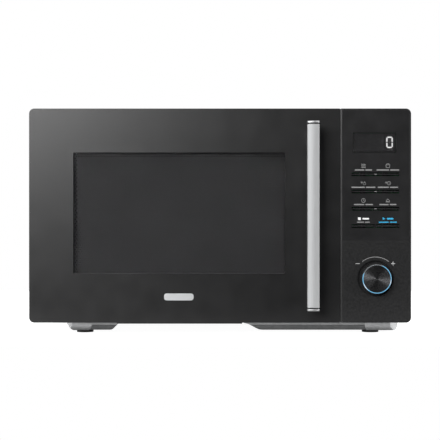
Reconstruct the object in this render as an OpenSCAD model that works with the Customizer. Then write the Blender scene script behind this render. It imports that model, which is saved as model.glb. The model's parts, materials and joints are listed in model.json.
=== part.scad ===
// Counter-top microwave oven, 20 litre class, with a left-hinged door and a dial.
// Millimetres. X runs to the right, Y to the back, Z up. The origin is on the table,
// under the middle of the whole box. The door and the control panel face -Y.

/* [Cabinet] */
// Width over the door and the control panel
body_w = 440; // [438:1:442]
// Height from the table to the top of the front
body_h = 262; // [261:0.5:263]
// Height of the lower edge of the front above the table
front_z = 15.3; // [15:0.1:15.6]
// Depth from the front plate to the outer face of the rear panel
case_d = 309; // [307:1:312]
// Step from the front's outline in to the painted case
case_step = 1.5; // [1:0.25:2]
// Radius of the front's outer corners
corner_r = 6; // [4:0.5:7]
// Sheet steel thickness
sheet = 0.8; // [0.7:0.1:0.8]

/* [Door] */
// Depth of the door, from its face to the front plate
door_d = 36; // [36:0.5:37]
// How far the handle stands in front of the door
handle_proud = 38; // [34:1:40]
// Width of the handle bar
handle_w = 13.4; // [13:0.2:16]
// How far the handle's face bulges in its middle
handle_crown = 1.6; // [1:0.1:1.8]
// Width of the window aperture
window_w = 243.9; // [238:0.5:245]
// Height of the window aperture
window_h = 139.4; // [134:0.5:141]

/* [Controls] */
// Width of the control panel
panel_w = 81.3; // [81:0.1:81.8]
// Gap between the door's face and the control panel
door_gap = 0.4; // [0.4:0.1:0.8]
// Width of the bevel on the control panel's edge beside the door
panel_chamfer = 1.8; // [1:0.1:1.9]
// Depth of that bevel
panel_bevel = 0.6; // [0.3:0.1:1]
// Radius of the dial
dial_r = 17; // [16:0.25:18]
// Height between the rows of keys
key_pitch = 19.9; // [18.5:0.1:20.1]
// Length of the long rocker keys
key_len = 53.6; // [50:0.2:54]

/* [Oven] */
// Inside width of the oven
oven_w = 306; // [300:1:306]
// Inside height of the oven
oven_h = 200; // [196:1:200]
// Inside depth of the oven
oven_d = 284; // [270:1:286]
// Outer radius of the glass tray
tray_r = 122.5; // [118:0.5:126]

/* [Hidden] */
$fn = 48;

// Planes of the box
half_w = body_w / 2;
spacer_d = 3;
half_d = (handle_proud + door_d + case_d + spacer_d) / 2;
handle_y = -half_d;
face_y = handle_y + handle_proud;
plate_y = face_y + door_d;
rear_y = plate_y + case_d;
case_x = half_w - case_step;
case_top = body_h - case_step;
case_r = 8;
base_z = 17;
apron_z = 11.3;
pan_z = 3;
pan_slant = 0.43;

// Door and panel
wall = 2.5;
panel_x = half_w - panel_w;
lip_x = panel_x - door_gap;
skirt_gap = 1.2;
split_x = panel_x - skirt_gap;
skirt_y = plate_y - 4;
notch_y = face_y + 16;
recess = 4;
win_x0 = -169.1;
win_x1 = win_x0 + window_w;
win_z1 = 211.3;
win_z0 = win_z1 - window_h;
hinge_x = -half_w + 12;
hinge_y = face_y + 12;
pin_r = 3;
choke_x0 = -186;
choke_x1 = 127;
choke_z0 = 30;
choke_z1 = 248;
web_y = face_y + 8.6;
cover_y = plate_y - 2.5;
grip_x = 105.1;
grip_z0 = 31.2;
grip_z1 = 245;
grip_posts = [grip_z0 + 16, grip_z1 - 16];
cap_h = 2.3;
cap_gap = 1.2;
spring_y = face_y + 19;

// Oven and turntable
oven_x1 = 111;
oven_x0 = oven_x1 - oven_w;
oven_z0 = 38;
oven_z1 = oven_z0 + oven_h;
oven_y0 = plate_y + sheet;
oven_y1 = oven_y0 + oven_d;
table_x = (oven_x0 + oven_x1) / 2;
table_y = (oven_y0 + oven_y1) / 2;
roller_r = 6.9;
roller_path = 90;
roller_z = oven_z0 + roller_r + 0.1;
tray_z = roller_z + roller_r + 0.3;

// Control column
key_x = 178.95;
key_z = 186.3;
dial_x = 179;
dial_z = 66.3;
well_r = 20.7;
board_y = face_y + 19;
key_y = face_y - 0.5;
key_h = 0.7;
slot_h = 2.1;
slot_gap = 0.5;
small_key_w = (key_len - 2.4) / 2;
small_key_mid = (key_len + 2.4) / 4;
pivot_y = face_y + 6.4;
leg_x = 13;
film_t = 0.4;
film_x0 = panel_x + panel_chamfer + 0.3;
film_x1 = half_w - 2.3;
film_z0 = 110.1;
film_z1 = body_h - 2;
lens_x0 = 152.9;
lens_x1 = 203.3;
lens_z0 = 210.8;
lens_z1 = 234.7;
dial_y = face_y - 13.6;
cap_t = 1.4;
ring_w = 0.9;
ring_r = dial_r - 0.5;

// Foot places: X, Y
foot_x = [-161.4, 179.6];
foot_y = [face_y + 59.6, rear_y - 32];
latch_z = [75, 205];
latch_x = 129;

// Machine bay, to the right of the oven
guide_y0 = 22;
guide_y1 = 102;
guide_z0 = 156;
guide_z1 = 232;
feed_y = (guide_y0 + guide_y1) / 2;
feed_z = (guide_z0 + guide_z1) / 2;
lamp_z = 205;
fan_x = 165;
fan_z = 205;
gland_x = 180;
gland_z = 60;
rear_screws = [[-205, 60], [-205, 200], [205, 60], [205, 130]];

// ---- Shared shapes ----

module box(x0, x1, y0, y1, z0, z1) {
    translate([x0, y0, z0]) cube([x1 - x0, y1 - y0, z1 - z0]);
}

module rod_x(y, z, x0, x1, r) {
    translate([x0, y, z]) rotate([0, 90, 0]) cylinder(h = x1 - x0, r = r);
}

module rod_y(x, z, y0, y1, r) {
    translate([x, y0, z]) rotate([-90, 0, 0]) cylinder(h = y1 - y0, r = r);
}

module rod_z(x, y, z0, z1, r) {
    translate([x, y, z0]) cylinder(h = z1 - z0, r = r);
}

// A flat outline in X and Z, thickened from y0 to y1
module slab(y0, y1) {
    translate([0, y1, 0]) rotate([90, 0, 0]) linear_extrude(y1 - y0) children();
}

// A quarter of a circle as points, or its corner alone when the radius is nothing
function arc(cx, cz, r, a0) = r <= 0 ? [[cx, cz]] :
    [for (i = [0:8]) [cx + r * cos(a0 + 90 * i / 8), cz + r * sin(a0 + 90 * i / 8)]];

// A rectangle with the radii [right top, left top, left bottom, right bottom]
function panel(x0, x1, z0, z1, r) = concat(
    arc(x1 - r[0], z1 - r[0], r[0], 0), arc(x0 + r[1], z1 - r[1], r[1], 90),
    arc(x0 + r[2], z0 + r[2], r[2], 180), arc(x1 - r[3], z0 + r[3], r[3], 270));

function even(r) = [r, r, r, r];

// One side of a pan, from the rim at z2 down to its floor at z0. It is upright above z1,
// and below that it is a soft S where roundness is 0 and a quarter of an ellipse where 1.
function pan_side(rim, run, roundness, z0, z1, z2) = concat([[rim, z2]],
    [for (i = [0:6]) let(
        soft = [i / 6, (1 - cos(30 * i)) / 2],
        bulge = [1 - cos(15 * i), sin(15 * i)],
        p = soft + roundness * (bulge - soft))
        [rim + run * p[0], z1 + (z0 - z1) * p[1]]]);

function reversed(points) = [for (i = [len(points) - 1:-1:0]) points[i]];

// A pressed pan. Its sides run in by runs, [left, right, front and back], and are as round
// as roundness says. The front and back have an upright lip, and cuts are the widths of
// the slanting corners at the front's left and right.
module pan(x, y, runs, roundness, lip, cuts, z0, z1, z2) {
    left = cuts[0] > 0 ? [[x[0], y[0] + pan_slant * cuts[0]], [x[0] + cuts[0], y[0]]] : [[x[0], y[0]]];
    right = cuts[1] > 0 ? [[x[1] - cuts[1], y[0]], [x[1], y[0] + pan_slant * cuts[1]]] : [[x[1], y[0]]];
    intersection() {
        slab(y[0], y[1]) polygon(concat(pan_side(x[0], runs[0], roundness[0], z0, z1, z2),
            reversed(pan_side(x[1], -runs[1], roundness[1], z0, z1, z2))));
        translate([x[0], 0, 0]) rotate([90, 0, 90]) linear_extrude(x[1] - x[0])
            polygon(concat(pan_side(y[0], runs[2], roundness[2], z0, z1 - lip, z2),
                reversed(pan_side(y[1], -runs[2], roundness[2], z0, z1 - lip, z2))));
        translate([0, 0, z0 - 1]) linear_extrude(z2 - z0 + 2)
            polygon(concat(left, right, [[x[1], y[1]], [x[0], y[1]]]));
    }
}

// ---- Cabinet ----

// The painted steel cover: two sides and the top in one bent sheet, with cooling slots
module outer_case() {
    inner = case_x - sheet;
    color("#1b1b1d") difference() {
        slab(plate_y + sheet, rear_y) polygon(concat(
            [[case_x, base_z]],
            arc(case_x - case_r, case_top - case_r, case_r, 0),
            arc(case_r - case_x, case_top - case_r, case_r, 90),
            [[-case_x, base_z], [-inner, base_z]],
            [for (i = [8:-1:0]) arc(case_r - case_x, case_top - case_r, case_r - sheet, 90)[i]],
            [for (i = [8:-1:0]) arc(case_x - case_r, case_top - case_r, case_r - sheet, 0)[i]],
            [[inner, base_z]]));
        for (row = [0:3], col = [0:11])
            box(inner - 1, case_x + 1, plate_y + 150 + 11 * col, plate_y + 154 + 11 * col,
                48 + 26 * row, 66 + 26 * row);
        for (col = [0:9])
            box(-case_x - 1, 1 - inner, plate_y + 40 + 11 * col, plate_y + 44 + 11 * col, 196, 216);
    }
}

// The rear panel, inside the cover's back edge, with the fan's grille and the cord's hole
module rear_panel() {
    x = case_x - sheet - 0.2;
    top = case_top - sheet - 0.2;
    color("silver") difference() {
        slab(rear_y - sheet, rear_y)
            polygon(panel(-x, x, base_z + 1, top, [case_r - 1, case_r - 1, 1, 1]));
        for (i = [-4:4], j = [-4:4])
            if (norm([i, j]) < 4.4)
                rod_y(fan_x + 9 * i, fan_z + 9 * j, rear_y - 3, rear_y + 1, 3);
        for (row = [0:1], col = [0:7])
            box(-150 + 14 * col, -142 + 14 * col, rear_y - 3, rear_y + 1, 150 + 24 * row, 166 + 24 * row);
        rod_y(gland_x, gland_z, rear_y - 3, rear_y + 1, 8.05);
        for (p = rear_screws)
            rod_y(p[0], p[1], rear_y - 3, rear_y + 1, 2.05);
    }
}

// The galvanised floor of the cabinet, with pressed pans over the feet
module base_plate() {
    x = case_x - sheet - 0.2;
    y0 = plate_y + sheet;
    y1 = rear_y - sheet;
    color("#b9bcbf") {
        difference() {
            union() {
                box(-x, x, y0, y1, base_z, base_z + sheet);
                box(-x, sheet - x, y0, y1, base_z, base_z + 10);
                box(x - sheet, x, y0, y1, base_z, base_z + 10);
                base_pans(0);
            }
            base_pans(sheet);
            for (x = foot_x, y = foot_y)
                rod_z(x, y, 0, base_z, 3.55);
            rod_z(table_x, table_y, base_z - 1, base_z + 1, 30);
            for (i = [0:7])
                box(-150 + 10 * i, -146 + 10 * i, 90, 125, base_z - 1, base_z + 1);
        }
    }
}

// All pressed pans, shrunk by t on every side and floor for their hollow insides. Each
// row is the left, right and front rim, the runs, the roundness, the lip and the cuts.
module base_pans(t) {
    depth = 40;
    top = base_z + (t > 0 ? 2 * sheet : sheet);
    front = plate_y + 5;
    inner = front + 3;
    back = rear_y - 14 - depth;
    rows = [
        [-181.4, -149.5, front, [8.5, 6, 3], [0.5, 0, 1], 0, [6, 0]],
        [171, 210.4, front, [2.8, 5.4, 3], [1, 1, 1], 0, [0, 9.2]],
        [-170, -121.4, inner, [6, 9.5, 6], [0, 0.5, 0], 2, [0, 0]],
        [28.5, 200, inner, [21.5, 5.4, 6], [0, 1, 0], 2, [0, 0]],
        [-184, -139, back, [8, 8, 6], [0, 0, 0], 0, [0, 0]],
        [156, 210.4, back, [8, 8, 6], [0, 0, 0], 0, [0, 0]],
    ];
    for (p = rows)
        pan([p[0] + t, p[1] - t], [p[2] + t, p[2] + depth - t], p[3], p[4], p[5], p[6],
            pan_z + t, apron_z + t, top);
}

// Four rubber feet, each with a stem that snaps through a pan
module feet() {
    color("#151515") for (x = foot_x, y = foot_y) {
        rod_z(x, y, 0, pan_z, 9.9);
        rod_z(x, y, pan_z, pan_z + sheet + 0.4, 3.5);
        rod_z(x, y, pan_z + sheet + 0.4, pan_z + 3.6, 4.6);
    }
}

// The painted steel front of the cabinet, which the shut door seals against, with an
// apron below it
module front_plate() {
    color("#1b1b1d") difference() {
        union() {
            slab(plate_y, plate_y + sheet)
                polygon(panel(-case_x, case_x, base_z, case_top, [case_r, case_r, 1, 1]));
            box(-122, 26, plate_y, plate_y + sheet, apron_z, base_z + 1);
        }
        box(oven_x0, oven_x1, plate_y - 1, plate_y + 2, oven_z0, oven_z1);
        for (z = latch_z)
            box(latch_x - 2, latch_x + 8, plate_y - 1, plate_y + 2, z - 14, z + 11);
        box(150, 208, plate_y - 1, plate_y + 2, 100, 200);
        rod_y(dial_x, dial_z, plate_y - 1, plate_y + 2, 6);
    }
}

// The enamelled oven box, open at the front
module cavity_shell() {
    color("#8f9396") difference() {
        box(oven_x0 - sheet, oven_x1 + sheet, oven_y0, oven_y1 + sheet,
            oven_z0 - sheet, oven_z1 + sheet);
        box(oven_x0, oven_x1, oven_y0 - 1, oven_y1, oven_z0, oven_z1);
        box(oven_x1 - 1, oven_x1 + 2, guide_y0 + 5, guide_y1 - 5, guide_z0 + 5, guide_z1 - 5);
        rod_z(table_x, table_y, oven_z0 - 2, oven_z0 + 1, 6);
        for (i = [0:5], j = [0:3])
            rod_x(oven_y0 + 20 + 7 * i, lamp_z - 10.5 + 7 * j, oven_x1 - 1, oven_x1 + 2, 1.8);
        for (i = [0:7], j = [0:2])
            rod_x(oven_y0 + 30 + 7 * i, 190 + 7 * j, oven_x0 - 2, oven_x0 + 1, 1.8);
    }
}

// Two moulded spacers that keep the back away from a wall
module rear_spacers() {
    color("#202020") for (x = [-120, 60]) {
        difference() {
            box(x, x + 40, rear_y, rear_y + spacer_d, 215, 227);
            box(x + 3, x + 37, rear_y + 1.2, rear_y + 4, 218, 224);
        }
    }
}

// Screws that hold the cover and the rear panel
module case_screws() {
    color("silver") for (p = rear_screws) {
        rod_y(p[0], p[1], rear_y - 9, rear_y, 2);
        difference() {
            rod_y(p[0], p[1], rear_y, rear_y + 2.2, 4);
            box(p[0] - 2.5, p[0] + 2.5, rear_y + 1, rear_y + 3, p[1] - 0.5, p[1] + 0.5);
            box(p[0] - 0.5, p[0] + 0.5, rear_y + 1, rear_y + 3, p[1] - 2.5, p[1] + 2.5);
        }
    }
}

// The bush in the rear panel that the mains cord comes out of
module cord_gland() {
    color("#181818") difference() {
        union() {
            rod_y(gland_x, gland_z, rear_y, rear_y + 2.6, 11);
            rod_y(gland_x, gland_z, rear_y - 10, rear_y, 8);
        }
        rod_y(gland_x, gland_z, rear_y - 11, rear_y + 4, 3.75);
    }
}

// Upper and lower steel brackets that carry the door
module hinge_brackets() {
    color("#9fa3a7") for (low = [base_z + 3, case_top - 5]) {
        up = low < 100;
        difference() {
            union() {
                box(hinge_x + 10, hinge_x + 20, hinge_y - 5, plate_y - 1, low, low + 2.5);
                box(hinge_x, hinge_x + 10, hinge_y - 5, hinge_y + 5, low, low + 2.5);
                rod_z(hinge_x, hinge_y, low, low + 2.5, 6.5);
                box(hinge_x + 8, hinge_x + 20, plate_y - 1, plate_y,
                    up ? low : low - 24, up ? low + 26.5 : low + 2.5);
            }
            rod_z(hinge_x, hinge_y, low - 1, low + 4, pin_r + 0.03);
        }
    }
}

// Two headed pins: the lower stands up into the door, the upper hangs down into it
module hinge_pins() {
    low = base_z + 3;
    high = case_top - 2.5;
    color("#d5d8da") {
        rod_z(hinge_x, hinge_y, low - 0.9, low, 5);
        rod_z(hinge_x, hinge_y, low, choke_z0 + 6, pin_r);
        rod_z(hinge_x, hinge_y, high, high + 0.9, 5);
        rod_z(hinge_x, hinge_y, choke_z1 - 6, high, pin_r);
    }
}

// ---- Door ----

// The door's outline, with its right side at the given X
function door_outline(inset, right) = panel(inset - half_w, right - inset, front_z + inset,
    body_h - inset, [0.8, max(corner_r - inset, 0.5), max(corner_r - inset, 0.5), 0.8]);

// The black front of the door, with a sunk window, bosses for the steel frame and
// notches beside the hinges
module door_fascia() {
    color("#0e0e10") difference() {
        union() {
            difference() {
                union() {
                    slab(face_y, skirt_y) polygon(door_outline(0, split_x));
                    slab(face_y, face_y + wall) polygon(door_outline(0, lip_x));
                }
                slab(face_y + wall, skirt_y + 1) polygon(door_outline(wall, split_x));
            }
            slab(face_y + wall, face_y + recess)
                polygon(panel(win_x0 - 2.5, win_x1 + 2.5, win_z0 - 2.5, win_z1 + 2.5, even(3)));
            for (x = [-178, 118], z = [44, 234])
                rod_y(x, z, face_y + wall, web_y, 4);
            box(latch_x - 1, split_x - wall + 0.3, face_y + wall, cover_y - 6, 240, 242.5);
        }
        slab(face_y - 1, face_y + recess + 1) polygon(panel(win_x0, win_x1, win_z0, win_z1, even(2)));
        for (z = grip_posts)
            rod_y(grip_x, z, face_y - 1, face_y + wall + 1, 2.3);
        for (z = [front_z + wall, body_h - wall - 32])
            box(-half_w - 1, 10 - half_w, notch_y, skirt_y + 1, z, z + 32);
    }
}

// The tinted glass behind the window aperture
module door_glass() {
    color("#202328") slab(face_y + recess, face_y + recess + 3)
        polygon(panel(win_x0 - 6, win_x1 + 6, win_z0 - 6, win_z1 + 6, even(2)));
}

// The shielding screen behind the glass
module window_screen() {
    color("#3a3b3d") box(-172, 79, web_y - 0.6, web_y, 69, 214);
}

// The folded steel frame that carries the hinges and makes the choke channel
module choke_frame() {
    ears = [choke_z0 + 1, choke_z1 - 3.5];
    color("#8d9093") difference() {
        union() {
            difference() {
                box(choke_x0, choke_x1, web_y, cover_y, choke_z0, choke_z1);
                box(choke_x0 + sheet, choke_x1 - sheet, web_y + sheet, cover_y + 1,
                    choke_z0 + sheet, choke_z1 - sheet);
                box(-169, 76, web_y - 1, web_y + 2, 72, 208);
            }
            difference() {
                box(-172.8, 79.8, web_y + sheet, cover_y, 68.2, 211.8);
                box(-172, 79, web_y, cover_y + 1, 69, 211);
            }
            for (z = ears) {
                box(hinge_x, choke_x0 + sheet, hinge_y - 6, hinge_y + 6, z, z + 2.5);
                rod_z(hinge_x, hinge_y, z, z + 2.5, 6);
            }
        }
        for (z = ears)
            rod_z(hinge_x, hinge_y, z - 1, z + 4, pin_r + 0.05);
    }
}

// The plastic ring that closes the choke channel on the oven side
module choke_cover() {
    color("#2a2b2d") difference() {
        slab(cover_y, cover_y + 1)
            polygon(panel(choke_x0, choke_x1, choke_z0, choke_z1, even(1)));
        box(-168, 75, cover_y - 1, cover_y + 2, 73, 207);
    }
}

// The clear inner pane, clipped behind the choke cover's lip
module inner_pane() {
    color("#9aa5ad") box(-171.8, 78.8, cover_y - 1.5, cover_y, 69.2, 210.8);
}

// A plain badge plate below the window
module badge() {
    color("#c9cccf") slab(face_y - 0.6, face_y) polygon(panel(-64.5, -30.5, 41, 49, even(3)));
}

// The bulging front of the handle as points, from its left side to its right side
function handle_face(w) = [for (i = [-6:6]) [w * i / 6, handle_crown * (i / 6) ^ 2]];

// The handle's metal face, a channel that covers the core
module handle_bar() {
    w = handle_w / 2;
    color("#b4b7ba") translate([grip_x, handle_y, grip_z0 + cap_h + cap_gap])
        linear_extrude(grip_z1 - grip_z0 - 2 * (cap_h + cap_gap))
        polygon(concat([[-w, 10]], handle_face(w),
            [[w, 10], [w - 1.6, 10], [w - 1.6, 2], [1.6 - w, 2], [1.6 - w, 10]]));
}

// The two bright caps on the ends of the handle
module handle_caps() {
    w = handle_w / 2;
    color("#d8dadc") for (z = [grip_z0, grip_z1 - cap_h])
        translate([grip_x, handle_y, z]) linear_extrude(cap_h)
            polygon(concat([[-w, 13]], handle_face(w), [[w, 13]]));
}

// The handle's black core, with the two posts that stand on the door
module handle_core() {
    w = handle_w / 2 - 1.7;
    color("#121212") difference() {
        union() {
            box(grip_x - w, grip_x + w, handle_y + 2.1, handle_y + 13,
                grip_z0 + cap_h, grip_z1 - cap_h);
            for (z = grip_posts)
                box(grip_x - w, grip_x + w, handle_y + 13, face_y, z - 9, z + 9);
        }
        for (z = grip_posts)
            rod_y(grip_x, z, face_y - 15, face_y + 1, 2.05);
    }
}

// Two screws through the door into the handle's posts
module handle_screws() {
    color("silver") for (z = grip_posts) {
        rod_y(grip_x, z, face_y - 14, face_y + wall, 2);
        rod_y(grip_x, z, face_y + wall, face_y + wall + 2.6, 4);
    }
}

// The sliding latch with its two hooks
module door_latch() {
    tip = plate_y + 21;
    color("#e4e2da") {
        box(latch_x, latch_x + 3, web_y, cover_y - 2.5, 60, 220);
        for (z = latch_z) {
            box(latch_x, latch_x + 3, cover_y - 4, tip, z - 4, z + 4);
            box(latch_x, latch_x + 3, tip - 9, tip, z - 10, z - 3);
        }
        rod_z(latch_x + 1.5, spring_y, 219, 236, 1.2);
    }
}

// The spring that presses the latch down, coiled round the latch's stem
module latch_spring() {
    r = 2.3;
    wire = 0.35;
    turns = 7;
    sides = 8;
    z0 = 220.1 + wire;
    z1 = 240 - wire;
    steps = turns * 12;
    ring_at = [for (i = [0:steps]) let(a = 360 * turns * i / steps)
        for (k = [0:sides - 1]) let(b = 360 * k / sides)
            [(r + wire * cos(b)) * cos(a), (r + wire * cos(b)) * sin(a),
             z0 + (z1 - z0) * i / steps + wire * sin(b)]];
    side_faces = [for (i = [0:steps - 1], k = [0:sides - 1]) let(n = (k + 1) % sides)
        [i * sides + k, (i + 1) * sides + k, (i + 1) * sides + n, i * sides + n]];
    color("silver") translate([latch_x + 1.5, spring_y, 0]) polyhedron(ring_at, concat(
        side_faces, [[for (k = [0:sides - 1]) k]],
        [[for (k = [sides - 1:-1:0]) steps * sides + k]]));
}

// ---- Controls ----

// Slots for the three rockers and the two lower keys, seen from the front
module key_slots(y0, y1) {
    for (row = [0:2])
        box(key_x - key_len / 2 - slot_gap, key_x + key_len / 2 + slot_gap, y0, y1,
            key_z - row * key_pitch - slot_h, key_z - row * key_pitch + slot_h);
    for (side = [-1, 1])
        box(key_x + side * small_key_mid - small_key_w / 2 - slot_gap,
            key_x + side * small_key_mid + small_key_w / 2 + slot_gap, y0, y1,
            key_z - 3 * key_pitch - slot_h, key_z - 3 * key_pitch + slot_h);
}

// The control column's moulded front, with the dial's well and the rockers' pivots
module control_housing() {
    r = [corner_r, 0.8, 0.8, corner_r];
    ri = [corner_r - wall, 0.5, 0.5, corner_r - wall];
    color("#161617") difference() {
        union() {
            difference() {
                slab(face_y, plate_y) polygon(panel(panel_x, half_w, front_z, body_h, r));
                slab(face_y + wall, plate_y + 1) polygon(panel(panel_x + wall, half_w - wall,
                    front_z + wall, body_h - wall, ri));
            }
            rod_y(dial_x, dial_z, face_y + wall, face_y + 7.5, well_r + 2);
            for (row = [0:2], side = [-1, 1])
                box(key_x - 3, key_x + 3, face_y + wall, face_y + 8,
                    key_z - row * key_pitch + side * 2.9 - 1,
                    key_z - row * key_pitch + side * 2.9 + 1);
        }
        translate([panel_x, face_y, front_z - 1]) linear_extrude(body_h)
            polygon([[-1, -1], [panel_chamfer, -1], [panel_chamfer, 0], [0, panel_bevel],
                [-1, panel_bevel]]);
        slab(face_y - 1, face_y + film_t) polygon(panel(film_x0, film_x1, film_z0, film_z1, even(1)));
        rod_y(dial_x, dial_z, face_y - 1, face_y + 5, well_r);
        rod_y(dial_x, dial_z, face_y, face_y + 9, 4.6);
        box(lens_x0, lens_x1, face_y - 1, face_y + wall + 1, lens_z0, lens_z1);
        key_slots(face_y - 1, face_y + wall + 0.01);
        for (row = [0:2])
            rod_z(key_x, pivot_y, key_z - row * key_pitch - 5, key_z - row * key_pitch + 5, 1.05);
    }
}

// The glossy film over the upper part of the column
module control_film() {
    color("#1f2022") difference() {
        slab(face_y, face_y + film_t) polygon(panel(film_x0, film_x1, film_z0, film_z1, even(1)));
        box(lens_x0, lens_x1, face_y - 1, face_y + 1, lens_z0, lens_z1);
        key_slots(face_y - 1, face_y + 1);
    }
}

// The smoked window over the clock
module display_lens() {
    color("#2c2d31") box(lens_x0, lens_x1, face_y, face_y + wall, lens_z0, lens_z1);
}

// The four-digit module behind the lens, standing on the board
module display_module() {
    color("#3b3b40") box(lens_x0 + 1.5, lens_x1 - 1.5, face_y + wall + 0.4, board_y,
        lens_z0 + 1.5, lens_z1 - 1.5);
}

// The circuit board of the controls
module control_board() {
    color("#2f6b3c") difference() {
        box(panel_x + 6, half_w - 6, board_y, board_y + 1.6, 34, 250);
        for (x = [panel_x + 9, half_w - 9], z = [38, 246])
            rod_y(x, z, board_y - 1, board_y + 3, 1.8);
    }
}

// Eight small push switches on the board, two behind each long key
module tact_switches() {
    color("#30302f") for (row = [0:3], side = [-1, 1]) {
        z = key_z - row * key_pitch;
        box(key_x + side * leg_x - 3, key_x + side * leg_x + 3, board_y - 3.5, board_y, z - 3, z + 3);
        rod_y(key_x + side * leg_x, z, board_y - 5, board_y - 3.5, 1.7);
    }
}

// A long key that rocks about an upright pin at its middle
module rocker_key(row) {
    z = key_z - row * key_pitch;
    color("#2b2c2e") {
        box(key_x - key_len / 2, key_x + key_len / 2, key_y, key_y + 5.5, z - key_h, z + key_h);
        rod_z(key_x, pivot_y, z - 3.6, z + 3.6, 1);
        box(key_x - 1.4, key_x + 1.4, key_y + 5, pivot_y, z - key_h, z + key_h);
        for (side = [-1, 1])
            box(key_x + side * leg_x - 1.5, key_x + side * leg_x + 1.5, key_y + 5, board_y - 6.4,
                z - 1.2, z + 1.2);
    }
}

// One of the two short keys in the lowest row, which is pressed straight in
module push_key(side) {
    x = key_x + side * small_key_mid;
    z = key_z - 3 * key_pitch;
    color("#2b2c2e") {
        box(x - small_key_w / 2, x + small_key_w / 2, key_y, key_y + 5.5, z - key_h, z + key_h);
        box(key_x + side * leg_x - 1.5, key_x + side * leg_x + 1.5, key_y + 5, board_y - 6.4,
            z - 1.2, z + 1.2);
    }
}

// The rotary encoder on the board, with its threaded bush
module encoder() {
    color("#7d8184") difference() {
        union() {
            box(dial_x - 7, dial_x + 7, board_y - 7, board_y, dial_z - 7, dial_z + 7);
            rod_y(dial_x, dial_z, face_y + 4.6, board_y - 7, 4.5);
        }
        rod_y(dial_x, dial_z, face_y, board_y - 6, pin_r + 0.06);
    }
}

// The encoder's turning shaft
module encoder_shaft() {
    color("#c8cacc") rod_y(dial_x, dial_z, face_y - 9, board_y - 7.3, pin_r);
}

// The dial's hollow body, with a hub on the shaft
module knob_body() {
    color("#1c1c1e") difference() {
        rod_y(dial_x, dial_z, dial_y, face_y + 4, dial_r);
        difference() {
            rod_y(dial_x, dial_z, dial_y + 2.4, face_y + 5, dial_r - 2);
            rod_y(dial_x, dial_z, dial_y, face_y + 3.6, 5.2);
        }
        rod_y(dial_x, dial_z, face_y - 9.2, face_y + 5, pin_r + 0.02);
    }
}

// The turned metal disc on the dial's face
module knob_cap() {
    color("#55575a") rod_y(dial_x, dial_z, dial_y - cap_t, dial_y, ring_r - ring_w);
}

// The clear ring round the disc, which lights up blue
module knob_light_ring() {
    color("#3fa7dc") difference() {
        rod_y(dial_x, dial_z, dial_y - cap_t, dial_y, ring_r);
        rod_y(dial_x, dial_z, dial_y - cap_t - 1, dial_y + 1, ring_r - ring_w);
    }
}

// ---- Oven ----

// The glass tray, a shallow dish with three lugs under it for the coupler
module turntable_tray() {
    rim = tray_r;
    color("#bcd0d6") translate([table_x, table_y, tray_z]) {
        rotate_extrude($fn = 96) polygon([[0, 0], [rim - 20, 0], [rim - 4, 8.6], [rim, 9.6],
            [rim, 13.6], [rim - 5.5, 12.9], [rim - 21.5, 4], [0, 4]]);
        for (i = [0:2])
            rotate(60 + 120 * i) translate([12, 0, -4.6]) cylinder(h = 5, r = 3);
    }
}

// The ring that carries the three rollers on stub axles
module roller_ring() {
    color("#d9d9d6") translate([table_x, table_y, roller_z]) {
        difference() {
            translate([0, 0, -2.5]) cylinder(h = 5, r = 84, $fn = 96);
            translate([0, 0, -3.5]) cylinder(h = 7, r = 76, $fn = 96);
        }
        for (i = [0:2])
            rotate(90 + 120 * i) {
                rod_x(0, 0, 83, 97, 2.5);
                rod_x(0, 0, 95.6, 97, 3.3);
            }
    }
}

// One of the rollers that the tray runs on
module roller(i) {
    color("#f0f0ec") translate([table_x, table_y, roller_z]) rotate(90 + 120 * i) difference() {
        rod_x(0, 0, roller_path - 4.8, roller_path + 5, roller_r);
        rod_x(0, 0, roller_path - 6, roller_path + 6, 2.56);
    }
}

// The three-armed coupler that turns the tray
module turntable_coupler() {
    color("#e8e6df") translate([table_x, table_y, 0]) difference() {
        union() {
            rod_z(0, 0, oven_z0 + 0.6, tray_z - 0.7, 6.5);
            for (i = [0:2])
                rotate(120 * i) box(0, 17, -3, 3, tray_z - 8, tray_z - 0.7);
        }
        rod_z(0, 0, oven_z0 - 1, oven_z0 + 10.2, pin_r + 0.02);
    }
}

// The turntable motor's shaft
module turntable_shaft() {
    color("#cfd1d3") rod_z(table_x, table_y, base_z + 8, oven_z0 + 10, pin_r);
}

// The flat geared motor under the oven floor
module turntable_motor() {
    color("#b5b8ba") difference() {
        union() {
            rod_z(table_x, table_y, base_z + 2.5, oven_z0 - sheet - 1, 25);
            box(table_x - 31, table_x + 31, table_y - 5, table_y + 5, oven_z0 - sheet - 1.2,
                oven_z0 - sheet);
        }
        rod_z(table_x, table_y, base_z + 7, oven_z0, pin_r + 0.06);
    }
}

// The mica sheet over the waveguide's mouth
module waveguide_cover() {
    color("#cbbf9f") box(oven_x1 - 0.7, oven_x1, guide_y0 - 3, guide_y1 + 3,
        guide_z0 - 3, guide_z1 + 3);
}

// ---- Machine bay ----

// The duct from the magnetron to the oven
module waveguide() {
    x0 = oven_x1 + sheet;
    color("#a7abae") difference() {
        box(x0, 150, guide_y0, guide_y1, guide_z0, guide_z1);
        box(x0 - 1, 149, guide_y0 + 1, guide_y1 - 1, guide_z0 + 1, guide_z1 - 1);
        rod_x(feed_y, feed_z, 148, 151, 10);
    }
}

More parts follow.
